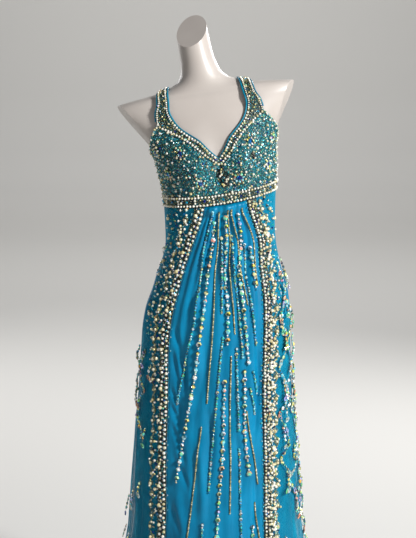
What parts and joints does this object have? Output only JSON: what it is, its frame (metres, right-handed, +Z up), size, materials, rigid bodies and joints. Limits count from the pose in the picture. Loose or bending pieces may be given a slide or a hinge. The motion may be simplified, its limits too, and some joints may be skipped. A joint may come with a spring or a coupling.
{
  "type": "mermaid evening dress on a dress form",
  "caption": "Floor-length fitted evening gown with beaded V-neck bodice, gathered centre panel and flared hem, on a limbless torso form with a pole and round base.",
  "frame": {"origin": "middle of the underside of the form's round base, on the floor", "axes": "+Z up; the front of the dress faces -Y; +X is the wearer's left"},
  "size_m": [0.8312, 0.8438, 1.592],
  "materials": {
    "satin": "turquoise satin under crinkled chiffon",
    "beaded": "net covered with seed beads, pearls and crystals",
    "pearls": "cream pearls sewn on dark teal net",
    "sheer": "sheer teal net with bead scrolls",
    "form": "smooth off-white, softly glossy",
    "zip_metal": "polished",
    "stand_steel": "satin brushed"
  },
  "bodies": {
    "dress": {"front_neck_band_left": "beaded", "front_neck_band_right": "beaded", "back_neck_band_left": "beaded", "back_neck_band_right": "beaded", "bodice_front_left": "beaded", "bodice_front_right": "beaded", "bodice_back_left": "beaded", "bodice_back_right": "beaded", "neck_binding_front_left": "satin", "neck_binding_front_right": "satin", "neck_binding_back_left": "satin", "neck_binding_back_right": "satin", "strap_edge_front_left": "satin", "strap_edge_front_right": "satin", "strap_edge_back_left": "satin", "strap_edge_back_right": "satin", "skirt_centre_front": "satin", "skirt_side_left": "satin", "skirt_side_right": "satin", "skirt_back_left": "satin", "skirt_back_right": "satin", "underbust_band_front": "pearls", "underbust_band_back_left": "pearls", "underbust_band_back_right": "pearls", "pearl_border_left": "pearls", "pearl_border_right": "pearls", "sheer_overlay_left": "sheer", "sheer_overlay_right": "sheer", "zip_chain": "zip_metal", "zip_slider": "zip_metal", "form_flange": "stand_steel", "form_pole": "stand_steel", "form_base": "stand_steel", "form_torso": "form"},
    "zip_pull": {"zip_pull_tab": "zip_metal"}
  },
  "joints": [
    {"name": "zip_pull_swing", "type": "hinge", "parent": "dress", "child": "zip_pull", "pos_m": [-0.00126, 0.09454, 1.24598], "axis": [0.9864, 0.0727, 0.1474], "range_deg": [0, 150]}
  ]
}
